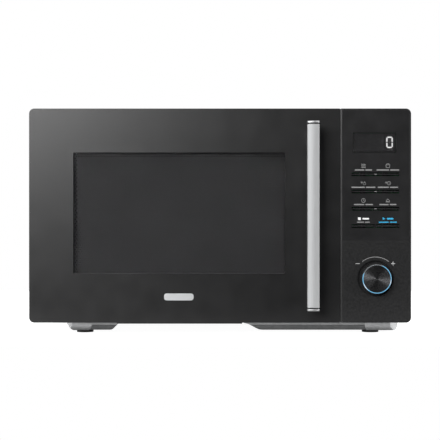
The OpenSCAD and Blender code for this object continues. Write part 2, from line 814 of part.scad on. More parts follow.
// The magnetron, with its antenna, yoke, magnets, cooling fins and filter box
module magnetron() {
    color("#b9b2a6") {
        rod_x(feed_y, feed_z, 130, 152, 8);
        rod_x(feed_y, feed_z, 151, 192, 20);
        for (x = [151.5, 185])
            rod_x(feed_y, feed_z, x, x + 6, 27);
        box(150, 151.5, guide_y0, guide_y1, guide_z0, guide_z1);
        box(191, 192.5, feed_y - 34, feed_y + 34, feed_z - 36, feed_z + 36);
        for (side = [-1, 1])
            box(151, 192, feed_y - 34, feed_y + 34, feed_z + side * 35.2 - 0.8,
                feed_z + side * 35.2 + 0.8);
        for (i = [0:4])
            box(160 + 5 * i, 160.8 + 5 * i, feed_y - 32, feed_y + 32, feed_z - 34.6, feed_z + 34.6);
        box(192, 213, feed_y - 22, feed_y + 22, feed_z - 24, feed_z + 24);
    }
}

// The transformer's laminated core, with its mounting plate
module transformer_core() {
    color("#6d6a66") difference() {
        union() {
            box(122, 206, 15, 75, base_z + sheet + 2, 92);
            box(116, 212, 12, 78, base_z + sheet, base_z + sheet + 2);
        }
        for (x = [136, 178])
            box(x, x + 14, 14, 76, 36, 78);
    }
}

// The two windings on the core's middle leg
module transformer_windings() {
    color("#a8622e") for (z = [[36.5, 55], [57, 77.5]]) difference() {
        box(136.4, 191.6, 3, 87, z[0], z[1]);
        box(149.8, 178.2, 14.8, 75.2, z[0] - 1, z[1] + 1);
    }
}

// The high-voltage capacitor, an oval can with two tabs
module capacitor() {
    color("#c7cacc") {
        translate([0, 0, base_z + sheet]) linear_extrude(82)
            polygon(panel(125, 175, 100, 130, even(14)));
        for (x = [140, 157])
            box(x, x + 3, 112, 118, base_z + sheet + 82, base_z + sheet + 92);
    }
}

// The cooling fan's rotor: hub, blades and spindle
module fan_blade() {
    color("#dfe0dc") {
        rod_y(fan_x, fan_z, rear_y - 20, rear_y - 7, 12);
        rod_y(fan_x, fan_z, rear_y - 50, rear_y - 19, 1.5);
        intersection() {
            rod_y(fan_x, fan_z, rear_y - 20, rear_y - 7, 40);
            translate([fan_x, rear_y - 13.5, fan_z]) for (i = [0:4])
                rotate([0, 72 * i, 0]) rotate([28, 0, 0]) translate([8, -0.9, -13])
                    cube([40, 1.8, 26]);
        }
    }
}

// The fan's shaded-pole motor
module fan_motor() {
    color("#777a7d") difference() {
        union() {
            box(fan_x - 27, fan_x + 21, rear_y - 47, rear_y - 31, fan_z - 22, fan_z + 22);
            rod_y(fan_x, fan_z, rear_y - 55, rear_y - 27, 15);
        }
        rod_y(fan_x, fan_z, rear_y - 51, rear_y - 26, 1.56);
    }
}

// The moulded duct round the fan, with a strut that holds its motor
module fan_duct() {
    color("#e3e2dc") difference() {
        union() {
            box(117, 213, rear_y - 24, rear_y - sheet, fan_z - 47, fan_z + 47);
            box(117, 213, rear_y - 27, rear_y - 24, fan_z - 8, fan_z + 8);
        }
        rod_y(fan_x, fan_z, rear_y - 24, rear_y + 1, 43);
        rod_y(fan_x, fan_z, rear_y - 28, rear_y - 23, 4);
    }
}

// The bracket that holds the door switches behind the latch slots
module interlock_bracket() {
    color("#e8e4d4") {
        box(139, 142, plate_y + sheet, plate_y + 50, 55, 225);
        box(142, 150, plate_y + sheet, plate_y + sheet + 2, 60, 95);
        box(142, 150, plate_y + sheet, plate_y + sheet + 2, 205, 220);
    }
}

// Three door switches: two behind the hooks and one between them
module microswitches() {
    color("#272727") for (z = [latch_z[0], 175, latch_z[1]]) {
        box(126, 139, plate_y + 25, plate_y + 43, z - 10, z + 10);
        rod_y(latch_x + 1.5, z, plate_y + 22.5, plate_y + 25, 1.5);
    }
}

// The oven lamp in its holder, behind the pierced part of the oven wall
module cavity_lamp() {
    x0 = oven_x1 + sheet;
    color("#d8d4c6") difference() {
        union() {
            box(x0, x0 + 2, oven_y0 + 49.5, oven_y0 + 90, lamp_z - 16, lamp_z + 16);
            box(x0, x0 + 22, oven_y0 + 54, oven_y0 + 86, lamp_z - 13, lamp_z + 13);
        }
        box(x0 - 1, x0 + 20, oven_y0 + 56, oven_y0 + 84, lamp_z - 11, lamp_z + 11);
    }
    color("#f4efe0") rod_x(oven_y0 + 70, lamp_z, x0 + 4, x0 + 20, 7);
}

outer_case();
rear_panel();
base_plate();
front_plate();
cavity_shell();
feet();
rear_spacers();
case_screws();
cord_gland();
hinge_brackets();
hinge_pins();
door_fascia();
door_glass();
window_screen();
choke_frame();
choke_cover();
inner_pane();
badge();
handle_bar();
handle_caps();
handle_core();
handle_screws();
door_latch();
latch_spring();
control_housing();
control_film();
display_lens();
display_module();
control_board();
tact_switches();
rocker_key(0);  // rocker_key_1
rocker_key(1);  // rocker_key_2
rocker_key(2);  // rocker_key_3
push_key(-1);  // stop_key
push_key(1);  // start_key
encoder();
encoder_shaft();
knob_body();
knob_cap();
knob_light_ring();
turntable_tray();
roller_ring();
roller(0);  // roller_1
roller(1);  // roller_2
roller(2);  // roller_3
turntable_coupler();
turntable_shaft();
turntable_motor();
waveguide_cover();
magnetron();
waveguide();
transformer_core();
transformer_windings();
capacitor();
fan_blade();
fan_motor();
fan_duct();
interlock_bracket();
microswitches();
cavity_lamp();
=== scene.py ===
"""The looks of a counter-top microwave oven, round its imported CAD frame. Metres, front to -Y."""
import json
import math

import bpy
from mathutils import Matrix, Vector


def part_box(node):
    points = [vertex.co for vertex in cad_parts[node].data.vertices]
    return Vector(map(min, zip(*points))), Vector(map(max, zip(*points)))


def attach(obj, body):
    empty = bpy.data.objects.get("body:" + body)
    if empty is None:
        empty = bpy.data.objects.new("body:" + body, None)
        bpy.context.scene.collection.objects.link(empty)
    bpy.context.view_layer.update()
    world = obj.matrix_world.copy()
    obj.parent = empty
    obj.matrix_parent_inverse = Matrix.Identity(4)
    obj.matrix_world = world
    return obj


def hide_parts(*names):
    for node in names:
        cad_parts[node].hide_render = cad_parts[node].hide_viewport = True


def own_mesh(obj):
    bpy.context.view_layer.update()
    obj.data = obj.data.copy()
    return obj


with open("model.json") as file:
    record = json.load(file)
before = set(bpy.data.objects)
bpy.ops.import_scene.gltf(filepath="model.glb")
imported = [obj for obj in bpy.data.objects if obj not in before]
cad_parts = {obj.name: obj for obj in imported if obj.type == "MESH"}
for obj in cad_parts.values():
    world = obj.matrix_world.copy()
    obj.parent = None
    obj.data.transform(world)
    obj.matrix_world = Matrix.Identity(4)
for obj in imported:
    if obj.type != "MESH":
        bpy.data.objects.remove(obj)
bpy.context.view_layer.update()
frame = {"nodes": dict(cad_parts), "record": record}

MM = 0.001
NOISE_BAND = (0.3, 0.7)  # nearly all of the noise lies between these
BLUE = (0.01, 0.34, 0.62)  # the light round the dial
GLINT_COLOUR = (0.8, 0.9, 1)  # the colour of the painted glints on that ring

# Places that the frame gives
FACE_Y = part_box("door_fascia")[0].y
LENS_LO, LENS_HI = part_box("display_lens")
DIAL_LO, DIAL_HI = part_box("knob_body")
DIAL = (DIAL_LO + DIAL_HI) / 2
KEY_BOXES = [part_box("rocker_key_%d" % i) for i in (1, 2, 3)]
KEYS_X = (KEY_BOXES[0][0].x + KEY_BOXES[0][1].x) / 2


# ---- Camera, stage and light ----

def make_camera():
    """A long lens straight in front, about level with the middle of the oven."""
    distance = 1.5  # from the door's face
    field = 0.5067  # width of the view at the door's face
    centre_x, height = -0.0001, 0.1336
    data = bpy.data.cameras.new("camera")
    data.sensor_width = 36
    data.lens = data.sensor_width * distance / field
    data.clip_end = 60
    cam = bpy.data.objects.new("camera", data)
    bpy.context.scene.collection.objects.link(cam)
    cam.location = (centre_x, FACE_Y - distance, height)
    cam.rotation_euler = (math.radians(90), 0, 0)
    bpy.context.scene.camera = cam


def area_light(name, place, target, size, watts):
    """A rectangular lamp that faces its target; size is its width and height."""
    data = bpy.data.lights.new(name, "AREA")
    data.shape = "RECTANGLE"
    data.size, data.size_y = size
    data.energy = watts
    ob = bpy.data.objects.new(name, data)
    bpy.context.scene.collection.objects.link(ob)
    ob.location = place
    towards = Vector(target) - ob.location
    ob.rotation_euler = towards.to_track_quat("-Z", "Y").to_euler()


def map_range(tree, value, source, result):
    """A socket with the value stretched from one (low, high) range to another."""
    node = tree.nodes.new("ShaderNodeMapRange")
    tree.links.new(value, node.inputs["Value"])
    node.inputs["From Min"].default_value, node.inputs["From Max"].default_value = source
    node.inputs["To Min"].default_value, node.inputs["To Max"].default_value = result
    return node.outputs[0]


def colour_ramp(tree, value, colour, darker, lighter, band=(0, 1)):
    """A socket with the colour, from darker to lighter times itself as the value crosses the band."""
    node = tree.nodes.new("ShaderNodeValToRGB")
    low, high = node.color_ramp.elements
    low.position, high.position = band
    low.color = (*[c * darker for c in colour], 1)
    high.color = (*[min(1, c * lighter) for c in colour], 1)
    tree.links.new(value, node.inputs[0])
    return node.outputs[0]


def make_world():
    """White to the camera; to all else a studio, bright above and dim in front.

    The world's generated coordinates are the direction that a ray goes in.
    """
    world = bpy.data.worlds.new("studio")
    bpy.context.scene.world = world
    world.use_nodes = True
    tree = world.node_tree
    tree.nodes.clear()
    add, link = tree.nodes.new, tree.links.new
    coords = add("ShaderNodeTexCoord")
    split = add("ShaderNodeSeparateXYZ")
    link(coords.outputs["Generated"], split.inputs[0])
    height = map_range(tree, split.outputs["Z"], source=(0.2, 0.95), result=(0.02, 0.9))
    front = map_range(tree, split.outputs["Y"], source=(-0.85, 0.2), result=(0.0, 0.5))
    level = add("ShaderNodeMath")
    link(height, level.inputs[0])
    link(front, level.inputs[1])
    room = add("ShaderNodeBackground")
    room.inputs["Color"].default_value = (1, 1, 1, 1)
    link(level.outputs[0], room.inputs["Strength"])
    white = add("ShaderNodeBackground")
    white.inputs["Color"].default_value = (1, 1, 1, 1)
    rays = add("ShaderNodeLightPath")
    mix = add("ShaderNodeMixShader")
    link(rays.outputs["Is Camera Ray"], mix.inputs[0])
    link(room.outputs[0], mix.inputs[1])
    link(white.outputs[0], mix.inputs[2])
    out = add("ShaderNodeOutputWorld")
    link(mix.outputs[0], out.inputs["Surface"])


def make_stage():
    """A small pale table top, whose edges are lost against the white beyond it.

    The camera sees it almost white. To the oven it gives a painted pool of light beside and just
    before the cabinet, is dark towards its own front edge, and gives less under the floor pans, a
    painted shade.
    """
    seen = 0.95  # the light that it gives to the camera
    given, lost = 0.8, 0.85  # the light that it gives to the oven, and the part taken off by the painted shade under the cabinet
    left, right, front, back, level = -0.8, 0.8, -0.27, 0.8, -0.2 * MM
    mesh = bpy.data.meshes.new("floor")
    mesh.from_pydata([(left, front, level), (right, front, level), (right, back, level),
                      (left, back, level)], [], [(0, 1, 2, 3)])
    ob = bpy.data.objects.new("floor", mesh)
    bpy.context.scene.collection.objects.link(ob)
    paint = finish("floor_paint", (0.35, 0.35, 0.35), 0.75, spread=0.02, scale=3,
                   sockets={"Emission Color": (1, 1, 1, 1)})
    tree, shader = nodes_of(paint)
    add, link = tree.nodes.new, tree.links.new

    def maths(kind, a, b=None):
        node = add("ShaderNodeMath")
        node.operation = kind
        for socket, value in zip(node.inputs, (a, b)):
            if isinstance(value, (int, float)):
                socket.default_value = value
            elif value is not None:
                link(value, socket)
        return node.outputs[0]

    coords = add("ShaderNodeTexCoord")
    split = add("ShaderNodeSeparateXYZ")
    link(coords.outputs["Object"], split.inputs[0])
    sideways = maths("ABSOLUTE", split.outputs["X"])
    # a painted shade on the floor's light, between the cabinet's sides and behind the door's front
    across = map_range(tree, sideways, source=(0.2, 0.22), result=(1.0, 0.0))
    inward = map_range(tree, split.outputs["Y"], source=(-0.15, -0.11), result=(0.0, lost))
    # a painted pool of the floor's light, from just before the cabinet inward
    painted_pool = map_range(tree, split.outputs["Y"], source=(-0.205, -0.17), result=(0.0, given))
    shade = maths("SUBTRACT", 1.0, maths("MULTIPLY", across, inward))
    rays = add("ShaderNodeLightPath")
    glow = add("ShaderNodeMix")
    glow.data_type = "FLOAT"
    link(rays.outputs["Is Camera Ray"], glow.inputs["Factor"])
    link(maths("MULTIPLY", painted_pool, shade), glow.inputs[2])  # to the oven; input 3 is to the camera
    glow.inputs[3].default_value = seen
    link(glow.outputs[0], shader.inputs["Emission Strength"])
    mesh.materials.append(paint)


def make_lights():
    """A key from the upper left, low fills on both sides, and soft light from above and behind."""
    middle = (0, 0, 0.13)
    area_light("key_left", (-0.91, -2.3, 0.8), (-0.1, 0, 0.15), size=(1.2, 0.8), watts=46)
    area_light("low_left", (-1.6, -1.4, 0.25), (0.1, -0.15, 0.1), size=(0.5, 0.5), watts=6)
    area_light("low_right", (1.2, -1.2, 0.2), (0.2, -0.15, 0.02), size=(0.4, 0.4), watts=3.4)
    area_light("top", (0.1, 0.1, 2.1), middle, size=(2.2, 1.8), watts=44)
    area_light("side_right", (2.2, -0.9, 0.9), middle, size=(0.8, 1.6), watts=12)
    area_light("side_left", (-2.2, 0.3, 0.9), middle, size=(0.8, 1.6), watts=14)
    area_light("back", (-0.8, 2.4, 1.5), middle, size=(1.8, 1.4), watts=26)


# ---- Materials ----

def finish(name, colour, rough, *, metal=0.0, spread=0.08, rough_spread=0.06, scale=300.0,
           stretch=(1, 1, 1), bump=0.0, bump_scale=None, detail=4.0, sockets=None):
    """A Principled material whose colour, roughness and relief follow noise in the object's space."""
    mat = bpy.data.materials.new(name)
    mat.use_nodes = True
    mat.diffuse_color = (*colour, 1)
    tree = mat.node_tree
    add, link = tree.nodes.new, tree.links.new
    shader = tree.nodes["Principled BSDF"]
    coords = add("ShaderNodeTexCoord")
    place = add("ShaderNodeMapping")
    place.inputs["Scale"].default_value = stretch
    link(coords.outputs["Object"], place.inputs["Vector"])
    noise = add("ShaderNodeTexNoise")
    noise.inputs["Scale"].default_value = scale
    noise.inputs["Detail"].default_value = detail
    link(place.outputs[0], noise.inputs["Vector"])
    shades = colour_ramp(tree, noise.outputs["Fac"], colour, 1 - spread, 1 + spread, NOISE_BAND)
    link(shades, shader.inputs["Base Color"])
    gloss = map_range(tree, noise.outputs["Fac"], source=NOISE_BAND,
                      result=(max(0.0, rough - rough_spread), min(1.0, rough + rough_spread)))
    link(gloss, shader.inputs["Roughness"])
    shader.inputs["Metallic"].default_value = metal
    if bump:
        fine = add("ShaderNodeTexNoise")
        fine.inputs["Scale"].default_value = bump_scale or scale
        fine.inputs["Detail"].default_value = 3
        link(place.outputs[0], fine.inputs["Vector"])
        relief = add("ShaderNodeBump")
        relief.inputs["Strength"].default_value = bump
        relief.inputs["Distance"].default_value = 0.1 * MM
        link(fine.outputs["Fac"], relief.inputs["Height"])
        link(relief.outputs[0], shader.inputs["Normal"])
    for socket, value in (sockets or {}).items():
        shader.inputs[socket].default_value = value
    return mat


def nodes_of(mat):
    return mat.node_tree, mat.node_tree.nodes["Principled BSDF"]


def galvanised(name, colour, rough):
    """Zinc sheet: small crystals of slightly different grey."""
    darker, lighter = 0.91, 1.07
    mat = finish(name, colour, rough, metal=1.0, scale=500, bump=0.05)
    tree, shader = nodes_of(mat)
    add, link = tree.nodes.new, tree.links.new
    coords = add("ShaderNodeTexCoord")
    cells = add("ShaderNodeTexVoronoi")
    cells.inputs["Scale"].default_value = 220
    link(coords.outputs["Object"], cells.inputs["Vector"])
    grey = add("ShaderNodeSeparateColor")
    link(cells.outputs["Color"], grey.inputs[0])
    shades = colour_ramp(tree, grey.outputs[0], colour, darker, lighter)
    link(shades, shader.inputs["Base Color"])
    return mat


def light(name, colour, strength, base=(0.02, 0.02, 0.02)):
    """A surface that gives light of its own."""
    return finish(name, base, 0.4, spread=0.1, scale=900, sockets={
        "Emission Color": (*colour, 1), "Emission Strength": strength})


FINISHES = {
    "case_paint": dict(colour=(0.012, 0.012, 0.013), rough=0.42, spread=0.05, scale=900,
                       rough_spread=0.02, bump=0.3, bump_scale=1600),
    "enamel": dict(colour=(0.2, 0.205, 0.21), rough=0.32, spread=0.35, scale=1600, detail=1,
                   bump=0.1),
    "foot_rubber": dict(colour=(0.008, 0.008, 0.008), rough=0.75, scale=700, bump=0.4),
    "dark_plastic": dict(colour=(0.012, 0.012, 0.0125), rough=0.46, scale=500, bump=0.5,
                         bump_scale=2600),
    "fastener_steel": dict(colour=(0.62, 0.62, 0.6), rough=0.3, metal=1.0, scale=900),
    "bracket_steel": dict(colour=(0.45, 0.45, 0.45), rough=0.38, metal=1.0, scale=600, bump=0.1),
    "door_gloss": dict(colour=(0.0065, 0.0065, 0.0068), rough=0.32, spread=0.2, scale=40,
                       rough_spread=0.015, bump=0.02, bump_scale=500, sockets={"IOR": 1.45}),
    "window_glass": dict(colour=(0.62, 0.62, 0.63), rough=0.05, spread=0.03, scale=30,
                         rough_spread=0.01, sockets={"Transmission Weight": 1.0, "IOR": 1.45}),
    "screen_paint": dict(colour=(0.13, 0.13, 0.132), rough=0.5, scale=900),
    "choke_paint": dict(colour=(0.03, 0.03, 0.031), rough=0.4, scale=500, bump=0.2),
    "clear_film": dict(colour=(0.85, 0.87, 0.87), rough=0.06, spread=0.02, rough_spread=0.02,
                       scale=60, sockets={"Transmission Weight": 1.0, "IOR": 1.4}),
    "satin_silver": dict(colour=(0.72, 0.73, 0.74), rough=0.36, metal=1.0, scale=500,
                         stretch=(0.3, 8, 8), spread=0.04, rough_spread=0.03),
    "handle_metal": dict(colour=(0.485, 0.49, 0.495), rough=0.68, metal=1.0, scale=420,
                         stretch=(8, 8, 0.12), spread=0.12, bump=0.08),
    "cap_chrome": dict(colour=(0.43, 0.435, 0.44), rough=0.4, metal=1.0, scale=700, spread=0.03),
    "pale_plastic": dict(colour=(0.68, 0.67, 0.62), rough=0.45, scale=300, bump=0.2),
    "spring_steel": dict(colour=(0.5, 0.5, 0.5), rough=0.28, metal=1.0, scale=900),
    "panel_plastic": dict(colour=(0.009, 0.009, 0.0094), rough=0.42, scale=420, spread=0.3,
                          detail=2, bump=0.6, bump_scale=1500, sockets={"IOR": 1.38}),
    "panel_film": dict(colour=(0.0155, 0.0155, 0.016), rough=0.24, spread=0.15, scale=50,
                       rough_spread=0.02, sockets={"IOR": 1.45}),
    "lens_gloss": dict(colour=(0.3, 0.3, 0.305), rough=0.08, spread=0.03, scale=60,
                       rough_spread=0.02, sockets={"Transmission Weight": 0.96, "IOR": 1.4}),
    "display_face": dict(colour=(0.14, 0.14, 0.145), rough=0.5, scale=800),
    "board_green": dict(colour=(0.02, 0.11, 0.045), rough=0.35, scale=200),
    "key_plastic": dict(colour=(0.012, 0.012, 0.0125), rough=0.3, scale=500, bump=0.1),
    "knob_plastic": dict(colour=(0.024, 0.024, 0.025), rough=0.3, scale=500),
    "knob_metal": dict(colour=(0.088, 0.088, 0.09), rough=0.31, metal=1.0, scale=700, spread=0.05,
                       sockets={"Anisotropic": 0.85, "Anisotropic Rotation": 0.19}),
    "tray_glass": dict(colour=(0.93, 0.97, 0.97), rough=0.03, spread=0.01, rough_spread=0.01,
                       scale=20, sockets={"Transmission Weight": 1.0, "IOR": 1.5}),
    "mica": dict(colour=(0.5, 0.42, 0.28), rough=0.4, spread=0.3, scale=160, bump=0.3),
    "magnetron_metal": dict(colour=(0.55, 0.53, 0.5), rough=0.35, metal=1.0, scale=300),
    "core_steel": dict(colour=(0.13, 0.12, 0.11), rough=0.5, metal=0.7, scale=500,
                       stretch=(1, 14, 1), spread=0.3, bump=0.4),
    "copper_wire": dict(colour=(0.42, 0.15, 0.06), rough=0.35, metal=0.8, scale=260,
                        stretch=(1, 1, 9), spread=0.3, bump=0.6),
    "can_aluminium": dict(colour=(0.72, 0.73, 0.74), rough=0.3, metal=1.0, scale=300),
    "ink_grey": dict(colour=(0.23, 0.23, 0.23), rough=0.5, spread=0.05, scale=900),
    "ink_pale": dict(colour=(0.42, 0.42, 0.42), rough=0.5, spread=0.05, scale=900),
    "ink_white": dict(colour=(0.8, 0.8, 0.8), rough=0.5, spread=0.04, scale=900),
    "ink_blue": dict(colour=(0.025, 0.35, 0.6), rough=0.45, spread=0.05, scale=900),
    "digit_off": dict(colour=(0.18, 0.18, 0.185), rough=0.5, scale=900),
}

MATERIALS = {name: finish(name, **how) for name, how in FINISHES.items()}
MATERIALS["zinc_sheet"] = galvanised("zinc_sheet", (0.42, 0.425, 0.43), 0.36)
MATERIALS["digit_lit"] = light("digit_lit", (1.0, 1.0, 0.98), 3.0)
MATERIALS["blue_light"] = light("blue_light", BLUE, 0.9, base=(0.14, 0.145, 0.15))


def paint_nodes():
    """Every CAD node gets the material of its slot in the record."""
    for part in frame["record"]["subparts"]:
        ob = frame["nodes"][part["node"]]
        if not ob.material_slots:
            ob.data.materials.append(None)
        for held in ob.material_slots:
            held.material = MATERIALS[part["material_slot"]]


# ---- Shapes ----

def arc(cx, cy, r, start, sweep, count=10):
    """Points along a circle, angles in degrees."""
    angles = [math.radians(start + sweep * i / count) for i in range(count + 1)]
    return [(cx + r * math.cos(a), cy + r * math.sin(a)) for a in angles]


def rounded(x0, x1, z0, z1, r):
    """A rectangle with round corners."""
    return (arc(x1 - r, z1 - r, r, 0, 90) + arc(x0 + r, z1 - r, r, 90, 90)
            + arc(x0 + r, z0 + r, r, 180, 90) + arc(x1 - r, z0 + r, r, 270, 90))


def to_scene(name, mesh, mat, body, smooth=35):
    """A finished mesh as a piece that rides on a body; smooth is the sharpest angle shaded round."""
    mesh.materials.append(MATERIALS[mat])
    mesh.polygons.foreach_set("use_smooth", [True] * len(mesh.polygons))
    mesh.set_sharp_from_angle(angle=math.radians(smooth))
    ob = bpy.data.objects.new(name, mesh)
    bpy.context.scene.collection.objects.link(ob)
    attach(ob, body)
    return ob


UPRIGHT = Matrix(((1, 0, 0), (0, 0, -1), (0, 1, 0))).to_4x4()  # stands a flat outline on edge


def plate_mesh(outlines, front, back):
    """An upright plate between two depths; later outlines are its holes."""
    data = bpy.data.curves.new("outline", "CURVE")
    data.dimensions = "2D"
    data.fill_mode = "BOTH"
    data.extrude = (back - front) / 2
    for points in outlines:
        line = data.splines.new("POLY")
        line.points.add(len(points) - 1)
        line.points.foreach_set("co", [c for u, v in points for c in (u, v, 0, 1)])
        line.use_cyclic_u = True
    holder = bpy.data.objects.new("outline", data)
    mesh = bpy.data.meshes.new_from_object(holder)
    bpy.data.objects.remove(holder)
    bpy.data.curves.remove(data)
    mesh.transform(Matrix.Translation((0, (front + back) / 2, 0)) @ UPRIGHT)
    return mesh


def join(meshes):
    """Several meshes as one."""
    verts, faces = [], []
    for mesh in meshes:
        first = len(verts)
        verts += [tuple(v.co) for v in mesh.vertices]
        faces += [[first + i for i in p.vertices] for p in mesh.polygons]
    whole = bpy.data.meshes.new("joined")
    whole.from_pydata(verts, [], faces)
    whole.validate()
    return whole


# ---- Printed marks, each a thin film of ink ----

INK = 0.05 * MM  # how proud of its surface a mark stands


def stroke(points, width, closed=False):
    """The outline, or the two outlines, of a line of even width through the points."""
    n = len(points)
    left, right = [], []
    for i, (u, v) in enumerate(points):
        before = points[(i - 1) % n] if closed or i else points[0]
        after = points[(i + 1) % n] if closed or i < n - 1 else points[-1]
        du, dv = after[0] - before[0], after[1] - before[1]
        size = math.hypot(du, dv) or 1
        nu, nv = -dv / size * width / 2, du / size * width / 2
        left.append((u + nu, v + nv))
        right.append((u - nu, v - nv))
    return [left, right[::-1]] if closed else [left + right[::-1]]


def bar(x0, x1, z, height):
    """A bar with round ends."""
    r = height / 2
    return [arc(x1 - r, z, r, -90, 180) + arc(x0 + r, z, r, 90, 180)]


def ring(x, z, r, width):
    """A circle drawn as a line."""
    return stroke(arc(x, z, r, 0, 360, 36)[:-1], width, closed=True)


def waves(x, z, s):
    """Three wavy lines, for microwave power."""
    lines = []
    for k in (-1, 0, 1):
        points = [(x - s / 2 + s * i / 20, z + k * s * 0.34 + s * 0.09 * math.sin(i * 0.63))
                  for i in range(21)]
        lines.append(stroke(points, s * 0.11))
    return lines


def loaf(x, z, s):
    """A loaf with a domed top."""
    top = arc(x, z + s * 0.05, s * 0.42, -20, 220, 18)
    points = top + [(x - s * 0.36, z - s * 0.38), (x + s * 0.36, z - s * 0.38)]
    cuts = [stroke([(x + s * k, z + s * 0.1), (x + s * (k + 0.12), z + s * 0.32)], s * 0.09)
            for k in (-0.2, 0.06)]
    return [stroke(points, s * 0.11, closed=True)] + cuts


def snowflake(x, z, s):
    """Three crossed lines."""
    lines = []
    for k in range(3):
        a = math.radians(30 + 60 * k)
        u, v = s / 2 * math.cos(a), s / 2 * math.sin(a)
        lines.append(stroke([(x - u, z - v), (x + u, z + v)], s * 0.13))
    return lines


def clock(x, z, s):
    """A round dial with two hands."""
    hands = [(x, z + s * 0.26), (x, z), (x + s * 0.2, z - s * 0.08)]
    return [ring(x, z, s * 0.42, s * 0.1), stroke(hands, s * 0.09)]


def weight(x, z, s):
    """A kitchen weight: a tapered block under a ring."""
    block = [(x - s * 0.36, z - s * 0.4), (x + s * 0.36, z - s * 0.4),
             (x + s * 0.24, z + s * 0.14), (x - s * 0.24, z + s * 0.14)]
    return [stroke(block, s * 0.1, closed=True), ring(x, z + s * 0.28, s * 0.12, s * 0.08)]


def cloche(x, z, s):
    """A serving dome on a plate."""
    dome = arc(x, z - s * 0.2, s * 0.4, 0, 180, 18)
    return [stroke(dome, s * 0.1, closed=True), bar(x - s / 2, x + s / 2, z - s * 0.36, s * 0.1),
            ring(x, z + s * 0.29, s * 0.06, s * 0.07)]


def frost_weight(x, z, s):
    """A snowflake before a weight, for defrosting by weight."""
    return snowflake(x - s * 0.36, z + s * 0.16, s * 0.55) + weight(x + s * 0.24, z, s * 0.85)


def frost_clock(x, z, s):
    """A snowflake before a clock, for defrosting by time."""
    return snowflake(x - s * 0.36, z + s * 0.16, s * 0.55) + clock(x + s * 0.24, z, s * 0.9)


def square_mark(x, z, s):
    """A filled square, for stop."""
    return [[[(x - s / 2, z - s / 2), (x + s / 2, z - s / 2), (x + s / 2, z + s / 2),
              (x - s / 2, z + s / 2)]]]


def triangle_mark(x, z, s):
    """A filled triangle that points right, for start."""
    return [[[(x - s * 0.42, z - s / 2), (x + s * 0.52, z), (x - s * 0.42, z + s / 2)]]]


def word_bars(x0, x1, z, height):
    """A row of two bars with a gap between them, in place of words."""
    split = x0 + (x1 - x0) * 0.58
    gap = height * 0.8
    return [bar(x0, split - gap / 2, z, height), bar(split + gap / 2, x1, z, height)]


def ink(name, shapes, mat, body="root", front=FACE_Y):
    """Shapes printed on a surface at y = front, as one thin piece."""
    meshes = [plate_mesh(outlines, front - INK, front + INK / 2) for outlines in shapes]
    return to_scene(name, join(meshes), mat, body)


PICTOGRAMS = ((waves, loaf), (frost_weight, frost_clock), (clock, cloche))
WORD_WIDTHS = ((20, 26), (27.6, 23.5), (22, 19.7))  # mm, over each half of each rocker


def print_rocker(row, lo, hi, columns):
    """A pictogram and plain bars above each half of a rocker, and a dash on its middle."""
    icon_size, icon_rise = 5.2 * MM, 9.6 * MM
    word_height, word_rise = 1.4 * MM, 4.9 * MM
    dash_half, dash_height = 1.3 * MM, 0.8 * MM
    z = (lo.z + hi.z) / 2
    for x, side, draw, width in zip(columns, "lr", PICTOGRAMS[row], WORD_WIDTHS[row]):
        name = "mark_%d_%s" % (row + 1, side)
        ink(name, draw(x, z + icon_rise, icon_size), "ink_grey")
        half = width / 2 * MM
        ink(name + "_bar", word_bars(x - half, x + half, z + word_rise, word_height), "ink_grey")
    dash = bar(KEYS_X - dash_half, KEYS_X + dash_half, z, dash_height)
    ink("dash_%d" % (row + 1), [dash], "ink_grey", "rocker_%d" % (row + 1), lo.y)


def print_stop_start(columns):
    """A square over the stop key and a triangle over the start key, each with plain bars."""
    mark_size, mark_left, mark_rise = 3.2 * MM, 4.6 * MM, 8.5 * MM
    bar_left, bar_right, bar_height = 1.1 * MM, 6.6 * MM, 1.9 * MM
    word_height, word_rise = 1.2 * MM, 4.5 * MM
    lo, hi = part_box("stop_key")
    z = (lo.z + hi.z) / 2
    keys = (("l", square_mark, "ink_white", "ink_grey", 7.5 * MM),
            ("r", triangle_mark, "ink_blue", "ink_blue", 10.4 * MM))
    for x, (side, draw, mat, word_mat, half) in zip(columns, keys):
        name = "mark_4_" + side
        beside = bar(x - bar_left, x + bar_right, z + mark_rise, bar_height)
        ink(name, draw(x - mark_left, z + mark_rise, mark_size) + [beside], mat)
        ink(name + "_bar", word_bars(x - half, x + half, z + word_rise, word_height), word_mat)


def print_keys():
    """The marks of all the keys, in two columns."""
    columns = (KEYS_X - 13.9 * MM, KEYS_X + 14.25 * MM)
    for row, (lo, hi) in enumerate(KEY_BOXES):
        print_rocker(row, lo, hi, columns)
    print_stop_start(columns)


def print_dial():
    """The arc over the dial, with a minus and a plus at its ends."""
    r, line_width = 24.7 * MM, 0.7 * MM
    sweep = 38.5  # degrees each way from the top
    curve = stroke(arc(DIAL.x, DIAL.z, r, 90 - sweep, 2 * sweep, 40), line_width)
    left, right, z = DIAL.x - 20.6 * MM, DIAL.x + 20.2 * MM, DIAL.z + 17.1 * MM
    half, thick = 2.4 * MM, 0.36 * MM
    plus = [(right - half, z - thick), (right - thick, z - thick), (right - thick, z - half),
            (right + thick, z - half), (right + thick, z - thick), (right + half, z - thick),
            (right + half, z + thick), (right + thick, z + thick), (right + thick, z + half),
            (right - thick, z + half), (right - thick, z + thick), (right - half, z + thick)]
    minus = [(left - half, z - thick), (left + half, z - thick), (left + half, z + thick),
             (left - half, z + thick)]
    ink("dial_arc", [curve], "ink_grey")
    ink("dial_signs", [[plus], [minus]], "ink_pale")


# ---- The clock's digits ----

